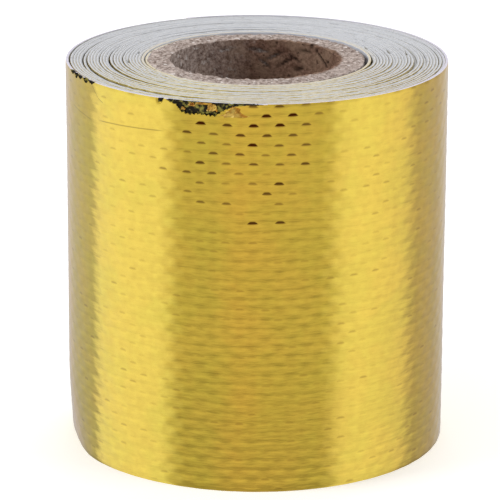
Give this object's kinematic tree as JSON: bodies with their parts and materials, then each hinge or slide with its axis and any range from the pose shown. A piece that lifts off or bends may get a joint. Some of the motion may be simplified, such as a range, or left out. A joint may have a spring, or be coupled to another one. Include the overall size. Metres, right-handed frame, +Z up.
{
  "type": "aluminium foil tape roll",
  "caption": "Roll of gold-faced aluminium foil tape with a glass cloth back, wound on a cardboard core and standing on its end.",
  "frame": {"origin": "centre of the roll's lower end, where it stands on the floor", "axes": "+Z up along the roll's axis, -Y towards the picture's camera, +X to its right"},
  "size_m": [0.049, 0.049, 0.05],
  "materials": {
    "gold_foil": "mirror-bright gold metallised film on aluminium foil, embossed by the plain weave of the glass cloth behind it",
    "kraft_board": "matt spirally wound grey-brown board with a rough cut edge"
  },
  "bodies": {
    "root": {"tape_roll": "gold_foil", "cardboard_core": "kraft_board"}
  },
  "joints": []
}
